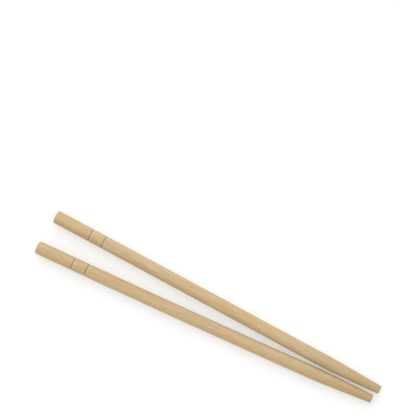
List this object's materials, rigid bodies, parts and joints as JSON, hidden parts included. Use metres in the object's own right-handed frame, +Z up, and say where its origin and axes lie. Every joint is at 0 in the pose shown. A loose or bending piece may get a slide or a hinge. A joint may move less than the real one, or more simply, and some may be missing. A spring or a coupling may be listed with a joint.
{
  "type": "bamboo chopsticks",
  "caption": "Pair of round bamboo chopsticks for eating, with two scored rings near the butt and a short taper to a blunt tip.",
  "frame": {"origin": "centre of the pair's footprint, on the surface that the sticks lie on", "axes": "+X from the butts to the tips, midway between the two sticks; +Y on the upper stick's side; +Z up from the table"},
  "size_m": [0.2018, 0.0268, 0.0073],
  "materials": {
    "bamboo_upper": "satin",
    "bamboo_lower": "satin"
  },
  "bodies": {
    "root": {"upper_chopstick": "bamboo_upper", "lower_chopstick": "bamboo_lower"}
  },
  "joints": []
}
